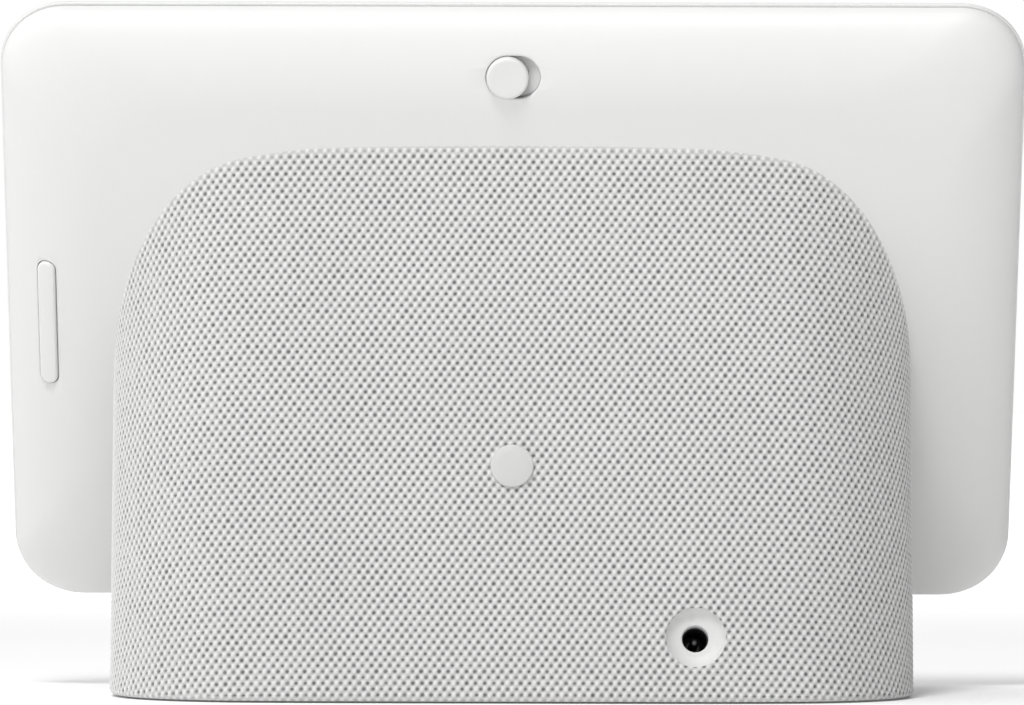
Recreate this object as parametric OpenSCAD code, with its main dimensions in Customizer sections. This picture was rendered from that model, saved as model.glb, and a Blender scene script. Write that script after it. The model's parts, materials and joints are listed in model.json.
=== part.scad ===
// Smart display: a tilted touch screen standing on a cloth-covered speaker base.
// Millimetres. +Z is up and the screen faces -Y. The origin lies on the floor, under the
// middle of the bounding box, so the object is as wide on +X as on -X.

/* [Overall] */
// Height from the floor to the top edge of the glass
overall_h = 120.4; // [118:0.1:123]
// Depth from the lower edge of the glass to the back of the base
overall_d = 69.5; // [68:0.1:72]

/* [Display] */
// Width of the cover glass
glass_w = 177.4; // [175:0.1:184]
// Corner radius of the cover glass
glass_r = 11.5; // [10:0.5:14]
// Lean of the screen back from upright, in degrees
tilt = 27; // [26:0.5:28]
// Height of the lower edge of the glass above the floor
glass_z = 17.7; // [17:0.1:19]
// Thickness from the front of the glass to the back of the rear shell
display_t = 9.8; // [9.8:0.1:10.6]
// Width of the curved flank that runs round the rear shell
flank_w = 16; // [15:0.5:17]
// Wall thickness of the rear shell
shell_wall = 1.8; // [1.6:0.1:1.9]

/* [Base] */
// Width of the base over its cloth
base_w = 139.8; // [136:0.1:142]
// Lean of the base towards the screen, in degrees
lean = 11.15; // [10.5:0.05:12]
// Distance from the middle of the base to its front, at the floor
base_front = 27; // [26:0.1:28]
// Corner radius of the base at the back
rear_r = 26.5; // [25:0.5:28]
// Corner radius of the base at the front
front_r = 24; // [22:0.5:25]
// Height of the rubber foot below the base
foot_h = 0.4; // [0.4:0.1:0.8]
// Thickness of the cloth
cloth_t = 0.8; // [0.6:0.1:0.8]
// Wall thickness of the speaker housing
housing_wall = 2; // [1.8:0.1:2.2]

/* [Controls] */
// Radius of the microphone switch's round knob
knob_r = 3.65; // [3.2:0.05:3.8]
// Travel of the microphone switch
knob_travel = 1.9; // [1.6:0.1:2.2]
// Length of the volume rocker
rocker_l = 23.6; // [22:0.1:24]
// Half the width of the volume rocker
rocker_r = 1.55; // [1.5:0.05:1.9]

/* [Power inlet] */
// Radius of the throat that the barrel plug passes through
throat_r = 2.25; // [2.2:0.05:2.4]
// Radius of the inlet's centre pin
pin_r = 0.8; // [0.7:0.05:0.85]
// Place of the inlet to the side of the middle
jack_x = -31.4; // [-33:0.1:-30]

/* [Hidden] */
$fn = 48;
eps = 0.01;
far = 200;

// Display stack: depths are measured from the front of the glass, heights along the screen.
glass_h = (overall_h - glass_z) / cos(tilt);
mid_u = glass_h / 2;
glass_t = 1.1;
adhesive_t = 0.2;
rim_front = glass_t + adhesive_t;   // where the rear shell starts
rim_d = 2.2;                        // where its flank starts to curve
rim_inset = 0.4;                    // how far the shell lies inside the glass
shell_w = glass_w - 2 * rim_inset;
shell_h = glass_h - 2 * rim_inset;
shell_r = glass_r - rim_inset;
back_r = 18;                        // corner radius of the flat part of the back
flank_d = display_t - rim_d;
inner_d = display_t - shell_wall;   // depth of the shell's inner face
lcd_w = 157;
lcd_h = 91;
lcd_t = 1.3;
guide_t = 1.4;
tray_d = glass_t + lcd_t;           // front of the backlight tray
tray_t = 1.8;
tray_wall = 0.4;
frame_w = 165;
frame_h = 103;
frame_d = 5;                        // front of the mid frame's plate
frame_t = 0.8;
frame_screw_at = [[-66, 20], [66, 20], [-66, 95], [66, 95], [0, 20], [0, 92]];
neck_screw_at = [[-26, 36], [26, 36], [-26, 62], [26, 62]];
neck_t = 0.8;
slot_u = 49;                        // middle of the slot that the ribbon passes through
slot_w = 22;
slot_h = 6;
mic_u = mid_u + 48.9;
mic_x = 26;
hole_gap = 0.05;                    // radial room round a screw in its pilot hole

// Microphone switch: a frame on the top flank, its Z pointing out of the shell.
mute_e = 9.9;                       // distance of the well's middle from the shell's edge
knob_gap = 0.1;
well_r = knob_r + knob_gap;
pad_z = -2.4;                       // inner face of the flat pad behind the well
island_z = -0.6;                    // rim of the dished island that is the well's floor
island_gap = 0.05;
dish_z = -1.9;                      // lowest line of its dish
dish_x = well_r - island_gap + knob_travel / 2;
dish_r = (dish_x ^ 2 + (island_z - dish_z) ^ 2) / (2 * (island_z - dish_z));
slide_gap = 0.15;
knob_top = 1.05;
knob_edge = 0.25;
fork_x = 1.05;                      // middle of each prong of the fork that moves the lever
fork_w = 0.6;
fork_reach = 0.55;                  // how far the fork reaches past the pad
carrier_t = 0.6;
case_top = -3.1;
case_t = 1.1;
board_t = 0.5;

// Volume rocker: a frame on the +X flank, its Z pointing out of the shell.
rocker_e = 7;
rocker_u = mid_u - 0.3;
rocker_pad_z = -2.2;
rocker_gap = 0.2;
flange_top = -2.55;
flange_bottom = -3;
flange_out = 0.8;
rocker_top = 0.45;
rocker_edge = 0.2;
pivot_z = -3.4;
pivot_r = 0.4;
pivot_l = 5.8;
volume_board_top = -3.9;
volume_board_t = 0.35;
bracket_t = 0.3;
button_y = 9;
nub_bottom = -3.2;
nub_r = 0.8;
switch_t = 0.25;
dome_h = nub_bottom - volume_board_top - switch_t - 0.02;

// Base: the outline is drawn square to the leaning walls, then cut level at the floor.
rear_y = overall_d / 2 * cos(lean);
front_y = -base_front * cos(lean);
rear_bow = 1700;                    // radius of the back's nearly flat middle
shoulder_r = 140;                   // radius that leads from it to each back corner
shoulder_a = 8;                     // how far the back has turned where a corner starts
front_bow = 500;
housing_out = cloth_t + 0.1;
housing_in = housing_out + housing_wall;
display_gap = 0.2;
plate_inset = housing_in + 0.2;
plate_t = 2.4;
plate_top = foot_h + plate_t;
pad_recess = 0.7;                   // how deep the rubber foot is let into the base plate
pad_inset = plate_inset + 1.2;
base_screw_at = [[-54, 22], [54, 22], [-50, -14], [50, -14]];
board_z = 6.4;
main_board_t = 1.2;
board_top = board_z + main_board_t;
chip_h = 1.1;
can_h = 2.4;
can_wall = 0.3;
board_screw_at = [[-40, -16], [40, -16], [-40, 9], [40, 9]];
jack_z = 4.5;                       // height of the inlet along the leaning wall
trim_r = 5.25;
trim_face = 0.5;                    // how far the inlet's face lies below the cloth
trim_rim = 0.15;                    // width of the flat rim round the trim's funnel
flange_r = 6.8;
flange_start = housing_in + 0.25;   // the trim's flange lies behind the housing's curved wall
trim_l = 4.3;
cone_l = 2.3;
barrel_r = 2.05;
barrel_l = 11;
speaker_z = 36;                     // height of the speaker along the leaning wall
badge_z = 34;
seat_z = 0.8;                       // face of the speaker's flat seat behind the back wall
ribbon_t = 0.3;

// Wire routes, in points from the solder tabs to the plug on the main board.
power_route = [[0.9, 14.7, 10.5], [0.6, 13.8, 11.4], [0, 12.4, 12.4], [-1, 10.6, 12.8],
               [-2, 8.8, 12.4], [-2.6, 7.8, 11.6], [-2.6, 7.8, 10.6]];
speaker_route = [[17.4, 12.5, 39.8], [17.8, 9.4, 39], [20, 7.2, 36.6], [23, 6, 33],
                 [26.5, 5.8, 27], [30, 6.2, 21], [32.4, 7, 16], [33, 7.6, 13], [33, 7.6, 10.6]];

// ---- helpers ----

// Points of an arc, without its last one, so that arcs join end to end.
function arc(centre, r, from, to, steps) =
    [for (i = [0:steps - 1]) let (a = from + (to - from) * i / steps)
        centre + r * [cos(a), sin(a)]];

// One corner of a rounded rectangle, with both its ends.
function corner(centre, r, from, steps) =
    [for (i = [0:steps]) let (a = from + 90 * i / steps) centre + r * [cos(a), sin(a)]];

function rounded_outline(w, h, r, steps = 8) = let (x = w / 2 - r, y = h / 2 - r)
    concat(corner([x, y], r, 0, steps), corner([-x, y], r, 90, steps),
           corner([-x, -y], r, 180, steps), corner([x, -y], r, 270, steps));

// The base's back is a bow, then a shoulder and a corner on each side, all tangent.
corner_x = base_w / 2 - rear_r;
shoulder_x = corner_x - (shoulder_r - rear_r) * sin(shoulder_a);
bow_a = asin(shoulder_x / (rear_bow - shoulder_r));
bow_cy = rear_y - rear_bow;
shoulder_cy = bow_cy + (rear_bow - shoulder_r) * cos(bow_a);
corner_cy = shoulder_cy + (shoulder_r - rear_r) * cos(shoulder_a);

// Outline of the base, shrunk all round by inset. Every arc keeps its centre.
function base_outline(inset) = let (
        half = base_w / 2,
        front_a = asin((half - front_r) / (front_bow - front_r)),
        front_c = front_y + front_bow,
        front_cy = front_c - (front_bow - front_r) * cos(front_a))
    concat(
        arc([corner_x, corner_cy], rear_r - inset, 0, 90 - shoulder_a, 10),
        arc([shoulder_x, shoulder_cy], shoulder_r - inset, 90 - shoulder_a, 90 - bow_a, 4),
        arc([0, bow_cy], rear_bow - inset, 90 - bow_a, 90 + bow_a, 4),
        arc([-shoulder_x, shoulder_cy], shoulder_r - inset, 90 + bow_a, 90 + shoulder_a, 4),
        arc([-corner_x, corner_cy], rear_r - inset, 90 + shoulder_a, 180, 10),
        arc([front_r - half, front_cy], front_r - inset, 180, 270 - front_a, 8),
        arc([0, front_c], front_bow - inset, 270 - front_a, 270 + front_a, 4),
        arc([half - front_r, front_cy], front_r - inset, 270 + front_a, 360, 8),
        [[half - inset, front_cy]]);

// The inlet is on the -X shoulder: how far the wall has turned there, and where the wall is.
jack_turn = asin((jack_x + shoulder_x) / shoulder_r);
jack_y = shoulder_cy + shoulder_r * cos(jack_turn);

// A point of the display given by its depth and its height along the screen, as [y, z].
function from_glass(d, u) =
    [-overall_d / 2 + u * sin(tilt) + d * cos(tilt), glass_z + u * cos(tilt) - d * sin(tilt)];

// The flank is a quarter ellipse: its angle, depth and slope at a distance e from the edge.
function flank_angle(e) = acos(1 - e / flank_w);
function flank_depth(e) = rim_d + flank_d * sin(flank_angle(e));
function flank_slope(e) =
    atan(flank_d * cos(flank_angle(e)) / (flank_w * sin(flank_angle(e))));

function unit(v) = v / norm(v);
function tangent(path, i) =
    unit(path[min(i + 1, len(path) - 1)] - path[max(i - 1, 0)]);

module on_display() translate([0, -overall_d / 2, glass_z]) rotate([-tilt, 0, 0]) children();
module on_base() translate([0, 0, foot_h]) rotate([lean, 0, 0]) children();

// Z points out of the top flank, at the middle of the microphone switch's well.
module at_mute()
    on_display()
        translate([0, flank_depth(mute_e), glass_h - rim_inset - mute_e])
            rotate([flank_slope(mute_e) - 90, 0, 0]) children();

// Z points out of the +X flank, at the middle of the volume rocker.
module at_volume()
    on_display()
        translate([shell_w / 2 - rocker_e, flank_depth(rocker_e), rocker_u])
            rotate([0, 0, -flank_slope(rocker_e)]) rotate([-90, 0, 0]) children();

// Z points into the base, square to its back, from the cloth at the inlet.
module at_inlet()
    on_base()
        translate([jack_x, jack_y, jack_z])
            rotate([0, 0, -jack_turn]) rotate([90, 0, 0]) children();

// Z points into the base from the inner face of the back wall, on the speaker's axis.
module at_speaker()
    on_base() translate([0, rear_y - housing_in, speaker_z]) rotate([90, 0, 0]) children();

module rounded(w, h, r) {
    square([w, h - 2 * r], center = true);
    square([w - 2 * r, h], center = true);
    for (x = [-1, 1], y = [-1, 1])
        translate([x * (w / 2 - r), y * (h / 2 - r)]) circle(r);
}

module stadium(length, r) {
    square([length - 2 * r, 2 * r], center = true);
    for (x = [-1, 1]) translate([x * (length / 2 - r), 0]) circle(r);
}

// A rounded sheet parallel to the screen, between two depths.
module panel(w, h, r, d0, d1)
    translate([0, d1, mid_u]) rotate([90, 0, 0]) linear_extrude(d1 - d0) rounded(w, h, r);

// A box in the display's frame: middle x and u, size, and two depths.
module block(x, u, w, h, d0, d1)
    translate([x - w / 2, d0, u - h / 2]) cube([w, d1 - d0, h]);

// A rod square to the screen.
module rod(x, u, r, d0, d1)
    translate([x, d0, u]) rotate([-90, 0, 0]) cylinder(r = r, h = d1 - d0);

// A flat prism between two heights of the current frame.
module slab(z0, z1) translate([0, 0, z0]) linear_extrude(z1 - z0) children();

module tube(r_out, r_in, z0, z1)
    difference() {
        translate([0, 0, z0]) cylinder(r = r_out, h = z1 - z0);
        translate([0, 0, z0 - eps]) cylinder(r = r_in, h = z1 - z0 + 2 * eps);
    }

// A solid through rings of points that lie on planes of growing depth.
module loft(rings) {
    n = len(rings[0]);
    m = len(rings);
    polyhedron(
        points = [for (ring = rings) each ring],
        faces = concat(
            [[for (j = [n - 1:-1:0]) j]],
            [for (i = [0:m - 2], j = [0:n - 1])
                [i * n + j, i * n + (j + 1) % n, (i + 1) * n + (j + 1) % n, (i + 1) * n + j]],
            [[for (j = [0:n - 1]) (m - 1) * n + j]]),
        convexity = 4);
}

// A round wire along a path, as one polyhedron.
module wire(path, r, sides = 8) {
    n = len(path);
    rings = [for (i = [0:n - 1]) let (
            t = tangent(path, i),
            a = unit(cross(t, [1, 0.1, 0])),
            b = cross(t, a))
        [for (k = [0:sides - 1]) let (q = 360 * k / sides)
            path[i] + r * (cos(q) * a + sin(q) * b)]];
    polyhedron(
        points = [for (ring = rings) each ring],
        faces = concat(
            [[for (k = [sides - 1:-1:0]) k]],
            [for (i = [0:n - 2], k = [0:sides - 1])
                [i * sides + k, i * sides + (k + 1) % sides, (i + 1) * sides + (k + 1) % sides]],
            [for (i = [0:n - 2], k = [0:sides - 1])
                [i * sides + k, (i + 1) * sides + (k + 1) % sides, (i + 1) * sides + k]],
            [[for (k = [0:sides - 1]) (n - 1) * sides + k]]),
        convexity = 6);
}

// One ring of the rear shell's surface: inset from its edge, depth, corner radius.
function shell_ring(inset, depth, r) =
    [for (p = rounded_outline(shell_w - 2 * inset, shell_h - 2 * inset, r))
        [p[0], depth, p[1] + mid_u]];

// The rear shell's pillow shape, made smaller all round by a wall of the given thickness.
module shell_form(wall, front) {
    flank = [for (a = [0:10:90]) a];
    loft(concat(
        [shell_ring(wall, front, shell_r - wall)],
        [for (a = flank) shell_ring(
            wall + flank_w * (1 - cos(a)),
            rim_d + (flank_d - wall) * sin(a),
            shell_r - wall + (back_r - shell_r) * (1 - cos(a)))]));
}

// All the room that the display takes, grown by a gap, with everything above and in front.
module display_space(gap) {
    profile = concat(
        [[-far, -gap]],
        [for (a = [0:10:90])
            [rim_d + (flank_d + gap) * sin(a), rim_inset + flank_w - (flank_w + gap) * cos(a)]],
        [[display_t + gap, far], [-far, far]]);
    on_display()
        translate([-far / 2, 0, 0]) rotate([90, 0, 90]) linear_extrude(far) polygon(profile);
}

// The leaning body of the base, cut level at z0 and along the back of the display.
module base_body(inset, z0, gap)
    difference() {
        intersection() {
            on_base() translate([0, 0, -far / 4]) linear_extrude(far) polygon(base_outline(inset));
            translate([-far / 2, -far / 2, z0]) cube([far, far, far]);
        }
        display_space(gap);
    }

// A level slice of the base between two heights.
module base_slice(inset, z0, z1)
    intersection() {
        on_base() translate([0, 0, -far / 4]) linear_extrude(far) polygon(base_outline(inset));
        translate([-far / 2, -far / 2, z0]) cube([far, far, z1 - z0]);
    }

// ---- display ----

module cover_glass() color("white")
    on_display() difference() {
        panel(glass_w, glass_h, glass_r, 0, glass_t);
        for (x = [-mic_x, mic_x]) rod(x, mic_u, 0.5, -1, glass_t + 1);
    }

module glass_adhesive() color("white")
    on_display() difference() {
        panel(glass_w - 1.8, glass_h - 1.8, glass_r - 0.9, glass_t, rim_front);
        panel(glass_w - 6.4, glass_h - 6.4, glass_r - 3.2, glass_t - 1, rim_front + 1);
    }

module lcd_cell() color("black")
    on_display() panel(lcd_w, lcd_h, 1, glass_t, glass_t + lcd_t);

module light_guide() color("aliceblue")
    on_display() panel(lcd_w, lcd_h, 1, tray_d, tray_d + guide_t);

module backlight_tray() color("silver")
    on_display() difference() {
        panel(lcd_w + 1.2, lcd_h + 1.2, 1.5, tray_d, tray_d + tray_t);
        panel(lcd_w + 0.2, lcd_h + 0.2, 1.1, tray_d - 1, tray_d + guide_t);
    }

module mid_frame() color("gray")
    on_display() difference() {
        panel(frame_w, frame_h, 12, rim_front + 0.1, frame_d + frame_t);
        panel(lcd_w + 3, lcd_h + 3, 2, 0, frame_d);
        block(0, mic_u, 76, 3.8, 0, frame_d);
        block(0, mid_u + 47, 20, 12, 0, display_t);
        block(frame_w / 2, mid_u, 14, 30, 0, display_t);
        for (x = [-1, 1]) block(x * 40, 36, 24, 18, 0, display_t);
        for (p = frame_screw_at) rod(p[0], p[1], 0.9, 0, display_t);
    }

module frame_screws() color("silver")
    on_display() for (p = frame_screw_at) {
        rod(p[0], p[1], 1.6, frame_d - 0.7, frame_d);
        rod(p[0], p[1], 0.8, frame_d - eps, inner_d - 0.4);
    }

// The white back of the display, with its screw bosses and the pads behind the two controls.
module rear_shell() color("whitesmoke")
    difference() {
        union() {
            on_display() difference() {
                shell_form(0, rim_front);
                shell_form(shell_wall, rim_front - 1);
            }
            on_display() for (p = frame_screw_at)
                rod(p[0], p[1], 2, frame_d + frame_t, inner_d + 0.5);
            at_mute() slab(pad_z, -1) rounded(19, 9.6, 1);
            at_volume() slab(rocker_pad_z, -1) rounded(7, rocker_l + 5, 1);
        }
        on_display() for (p = frame_screw_at)
            rod(p[0], p[1], 0.8 + hole_gap, 0, inner_d - 0.3);
        on_display() for (p = neck_screw_at) rod(p[0], p[1], 1.6, 0, far);
        on_display() block(0, slot_u, slot_w, slot_h, 0, far);
        at_mute() slab(-4, 4) stadium(2 * well_r + knob_travel, well_r);
        at_volume() slab(-6, 4) rotate(90)
            stadium(rocker_l + 2 * rocker_gap, rocker_r + rocker_gap);
    }

module display_board() color("darkgreen")
    on_display() {
        block(0, 79, 48, 14, 5.9, 6.7);
        block(-14, 81, 9, 7, 6.7 - eps, 7.5);
    }

module wifi_antennas() color("goldenrod")
    on_display() for (x = [-1, 1]) block(x * 46, 88, 22, 8, inner_d - 0.2, inner_d);

module sensor_board() color("darkgreen")
    on_display() difference() {
        block(0, mic_u, 68, 3, 2.3, 2.7);
        for (x = [-mic_x, mic_x]) rod(x, mic_u, 0.4, 2, 3);
    }

module microphones() color("silver")
    on_display() for (x = [-mic_x, mic_x]) block(x, mic_u, 3.5, 2.6, 2.7, 3.7);

module mic_gaskets() color("black")
    on_display() for (x = [-mic_x, mic_x]) difference() {
        rod(x, mic_u, 1.4, glass_t, 2.3);
        rod(x, mic_u, 0.55, 0, 3);
    }

module light_sensor() color("black")
    on_display() block(0, mic_u, 2, 2, 1.5, 2.3);

// ---- microphone switch ----

module mute_slider() color("whitesmoke")
    at_mute() translate([knob_travel / 2, 0, 0]) {
        slab(island_z + slide_gap, knob_top - knob_edge) circle(knob_r);
        translate([0, 0, knob_top - knob_edge - eps])
            cylinder(r1 = knob_r, r2 = knob_r - knob_edge, h = knob_edge + eps);
        for (x = [-fork_x, fork_x]) translate([x, 0, 0])
            slab(pad_z - fork_reach, island_z + slide_gap + eps)
                square([fork_w, 1.4], center = true);
    }

module mute_lever() color("dimgray")
    at_mute() translate([knob_travel / 2, 0, 0])
        slab(case_top - 0.5, pad_z + 0.15) square([1.3, 1.3], center = true);

// The plate behind the well, with an island that fills the well up to its dished floor.
module switch_carrier() color("whitesmoke")
    at_mute() difference() {
        union() {
            slab(pad_z - carrier_t, pad_z) rounded(18, 9, 1);
            slab(pad_z - eps, island_z) stadium(2 * dish_x, well_r - island_gap);
        }
        translate([0, 0, dish_z + dish_r]) rotate([90, 0, 0])
            cylinder(r = dish_r, h = 4 * well_r, center = true, $fn = 120);
        slab(pad_z - 1, 0) square([2 * knob_travel + 1.6, 2], center = true);
    }

module mute_switch_case() color("silver")
    at_mute() difference() {
        slab(case_top - case_t, case_top) square([7.4, 2.8], center = true);
        slab(case_top - 0.8, case_top + 1) square([knob_travel + 1.8, 1.7], center = true);
    }

module mute_board() color("darkgreen")
    at_mute() slab(case_top - case_t - board_t, case_top - case_t) rounded(16, 6, 1);

// ---- volume rocker ----

module volume_rocker() color("whitesmoke")
    at_volume() {
        slab(flange_bottom, rocker_top - rocker_edge) rotate(90) stadium(rocker_l, rocker_r);
        slab(rocker_top - rocker_edge - eps, rocker_top) rotate(90)
            stadium(rocker_l - 2 * rocker_edge, rocker_r - rocker_edge);
        slab(flange_bottom, flange_top) rotate(90)
            stadium(rocker_l + 2 * flange_out, rocker_r + flange_out);
        for (y = [-button_y, button_y])
            translate([0, y, 0]) slab(nub_bottom, flange_bottom + 0.1) circle(nub_r);
        slab(pivot_z - 0.25, flange_bottom + 0.1) square([3.2, 1.6], center = true);
        translate([-pivot_l / 2, 0, pivot_z]) rotate([0, 90, 0])
            cylinder(r = pivot_r, h = pivot_l);
    }

module volume_bracket() color("silver")
    at_volume() {
        bracket_top = volume_board_top - volume_board_t;
        slab(bracket_top - bracket_t, bracket_top) rounded(5.8, rocker_l + 2, 1);
        difference() {
            for (x = [-1, 1]) translate([x * 2.5, 0, 0])
                slab(bracket_top - eps, flange_bottom - 0.1) square([0.7, 2.4], center = true);
            translate([-3.5, 0, pivot_z]) rotate([0, 90, 0])
                cylinder(r = pivot_r + hole_gap, h = 7);
        }
    }

module volume_board() color("darkgreen")
    at_volume() slab(volume_board_top - volume_board_t, volume_board_top)
        square([4, rocker_l + 1], center = true);

module volume_switches() color("silver")
    at_volume() for (y = [-button_y, button_y]) translate([0, y, 0]) {
        slab(volume_board_top, volume_board_top + switch_t) square([3, 3], center = true);
    }

// Metal domes that click when the rocker's nubs press them.
module switch_domes() color("gainsboro")
    at_volume() for (y = [-button_y, button_y])
        translate([0, y, volume_board_top + switch_t]) {
            cylinder(r1 = 1.3, r2 = 0.9, h = dome_h / 2);
            translate([0, 0, dome_h / 2 - eps]) cylinder(r1 = 0.9, r2 = 0.4, h = dome_h / 2);
        }

// ---- neck: the joint of the display and the base ----

module neck_plate() color("silver")
    on_display() difference() {
        block(0, 49, 62, 36, inner_d - neck_t, inner_d);
        block(0, slot_u, slot_w, slot_h, 0, far);
        for (p = neck_screw_at) rod(p[0], p[1], 1.6, 0, far);
    }

module neck_screws() color("silver")
    on_display() for (p = neck_screw_at) {
        rod(p[0], p[1], 2.6, inner_d - neck_t - 0.9, inner_d - neck_t);
        rod(p[0], p[1], 1.45, inner_d - neck_t - eps, 17);
    }

// The flat cable from the display's board, through the neck, to the main board.
module display_ribbon() color("sienna") {
    path = [from_glass(6.7, 76), from_glass(6.75, 51), from_glass(7.3, 49.6),
            from_glass(8.6, 49), from_glass(12, 49), from_glass(12.8, 48.2),
            from_glass(13.2, 46.8), from_glass(13.2, 14), from_glass(13.8, 10),
            [-18.4, 14], [-18.2, 11], [-18.2, 9.1]];
    n = len(path);
    side = [for (i = [0:n - 1]) let (
            t = unit(path[min(i + 1, n - 1)] - path[max(i - 1, 0)]))
        path[i] + ribbon_t * [-t[1], t[0]]];
    translate([-9, 0, 0]) rotate([90, 0, 90]) linear_extrude(18)
        polygon(concat(path, [for (i = [n - 1:-1:0]) side[i]]));
}

// ---- base: cloth, housing, floor ----

module cloth_sleeve() color("lightgray")
    difference() {
        base_body(0, foot_h, 0.15);
        base_slice(cloth_t, 0, far);
        at_inlet() translate([0, 0, -5]) cylinder(r = trim_r + 0.1, h = 20);
    }

// The speaker's sealed box: a leaning tub, open at the bottom, closed under the display.
module speaker_housing() color("gray")
    difference() {
        union() {
            difference() {
                base_body(housing_out, foot_h, display_gap);
                base_body(housing_in, 0, display_gap + housing_wall);
            }
            intersection() {
                base_body(housing_out + 1, foot_h, display_gap + 1);
                union() {
                    for (p = base_screw_at) {
                        translate([p[0], p[1], plate_top + 0.1]) cylinder(r = 3.2, h = 12);
                        translate([p[0], p[1], plate_top + 0.1])
                            rotate(atan2(p[1], p[0] - 42 * sign(p[0])))
                                translate([0, -0.8, 0]) cube([20, 1.6, 12]);
                    }
                    on_display() for (p = neck_screw_at)
                        rod(p[0], p[1], 3.2, display_t + display_gap, 18);
                    at_speaker() slab(-1, seat_z) rounded(50, 50, 6);
                }
            }
        }
        for (p = base_screw_at)
            translate([p[0], p[1], 0]) cylinder(r = 1 + hole_gap, h = plate_top + 10);
        on_display() for (p = neck_screw_at) rod(p[0], p[1], 1.45 + hole_gap, 0, 17.4);
        on_display() block(0, slot_u, slot_w, slot_h, 0, display_t + 6);
        at_speaker() {
            slab(-0.6, seat_z + 1) circle(19.5);
            for (y = [-15:5:15]) slab(-housing_wall - 1, 0)
                translate([0, y]) square([2 * sqrt(17 * 17 - y * y), 2], center = true);
            for (x = [-1, 1], y = [-1, 1]) translate([x * 19.5, y * 19.5, -1])
                cylinder(r = 1.1 + hole_gap, h = 3);
        }
        at_inlet() cylinder(r = trim_r + 0.15, h = 20, center = true);
    }

// A plain round button that marks the middle of the back.
module rear_badge() color("white")
    on_base() translate([0, rear_y + 0.35, badge_z]) rotate([90, 0, 0])
        cylinder(r1 = 3.5, r2 = 3.7, h = 0.35);

module base_plate() color("whitesmoke")
    difference() {
        union() {
            difference() {
                base_slice(plate_inset, foot_h, plate_top);
                base_slice(pad_inset - 0.1, 0, foot_h + pad_recess);
            }
            for (p = board_screw_at)
                translate([p[0], p[1], plate_top - 0.5])
                    cylinder(r = 2.6, h = board_z - plate_top + 0.5);
        }
        for (p = base_screw_at) {
            translate([p[0], p[1], 0]) cylinder(r = 1.2, h = far);
            translate([p[0], p[1], 0]) cylinder(r = 2.6, h = foot_h + pad_recess + 0.9);
        }
        for (p = board_screw_at)
            translate([p[0], p[1], plate_top - 0.4]) cylinder(r = 0.9, h = far);
    }

// One flat pad under the whole base, which also hides the screws.
module rubber_foot() color("silver")
    base_slice(pad_inset, 0, foot_h + pad_recess);

module base_screws() color("dimgray")
    for (p = base_screw_at) translate([p[0], p[1], foot_h + pad_recess]) {
        cylinder(r = 2.4, h = 0.9);
        cylinder(r = 1, h = 9.8);
    }

// ---- power inlet ----

module inlet_trim() color("white")
    at_inlet() difference() {
        union() {
            translate([0, 0, trim_face]) cylinder(r = trim_r, h = trim_l - trim_face);
            slab(flange_start, trim_l) circle(flange_r);
        }
        translate([0, 0, trim_face - eps])
            cylinder(r1 = trim_r - trim_rim, r2 = throat_r, h = cone_l - trim_face + eps);
        cylinder(r = throat_r, h = far);
    }

module inlet_barrel() color("black")
    at_inlet() difference() {
        translate([0, 0, trim_l]) cylinder(r = 4, h = barrel_l);
        translate([0, 0, trim_l - eps]) cylinder(r = barrel_r, h = barrel_l - 2);
        cylinder(r = 1.2, h = far);
    }

module inlet_pin() color("gainsboro")
    at_inlet() {
        translate([0, 0, trim_l + 1.3]) cylinder(r = pin_r, h = 7);
        translate([0, 0, trim_l + 8.3]) cylinder(r = 1.2, h = barrel_l - 8.3);
    }

module inlet_terminals() color("gainsboro")
    at_inlet() for (x = [-1.4, 1.4])
        translate([x, 2.4, trim_l + barrel_l]) slab(0, 2.2) square([1.6, 0.5], center = true);

// ---- main board ----

module main_board() color("darkgreen")
    difference() {
        translate([-44, -20, board_z]) cube([88, 33, main_board_t]);
        for (p = board_screw_at) translate([p[0], p[1], 0]) cylinder(r = 1, h = far);
    }

module board_screws() color("silver")
    for (p = board_screw_at) translate([p[0], p[1], 0]) {
        translate([0, 0, board_top]) cylinder(r = 1.9, h = 1.2);
        translate([0, 0, plate_top]) cylinder(r = 0.85, h = board_top - plate_top + eps);
    }

module processor() color("black")
    translate([-17, -9, board_top]) cube([14, 14, chip_h]);

module memory_chips() color("black")
    for (y = [-12.5, 0.5]) translate([1, y, board_top]) cube([11, 10, 0.9]);

module shield_can() color("silver")
    translate([-21, -15, board_top]) difference() {
        cube([36, 27, can_h]);
        translate([can_wall, can_wall, -can_wall])
            cube([36 - 2 * can_wall, 27 - 2 * can_wall, can_h]);
    }

module thermal_pad() color("lightpink")
    translate([-16, -8, board_top + chip_h]) cube([12, 12, can_h - can_wall - chip_h]);

module heat_sink() color("silver")
    translate([-23, -15.5, board_top + can_h]) {
        cube([40, 28, 1.6]);
        for (i = [0:6]) translate([i * 6.45, 0, 1.6 - eps]) cube([1.3, 28, 6]);
    }

module board_connectors() color("ivory") {
    translate([-10, -19.8, board_top]) cube([20, 3.2, 1.5]);
    for (x = [-34, 33]) translate([x - 3.5, 5.6, board_top]) cube([7, 4, 3]);
}

module power_wires()
    for (i = [0, 1]) color(["firebrick", "black"][i])
        wire([for (p = power_route) p + [jack_x + 2.8 * i - 1.4, 0, 0]], 0.5);

module speaker_wires()
    for (i = [0, 1]) color(["firebrick", "black"][i])
        wire([for (p = speaker_route) p + [2.6 * i - 1.3, 0, 0]], 0.5);

// ---- speaker ----

module speaker_gasket() color("black")
    at_speaker() tube(21.6, 19.7, seat_z, seat_z + 0.8);

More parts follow.
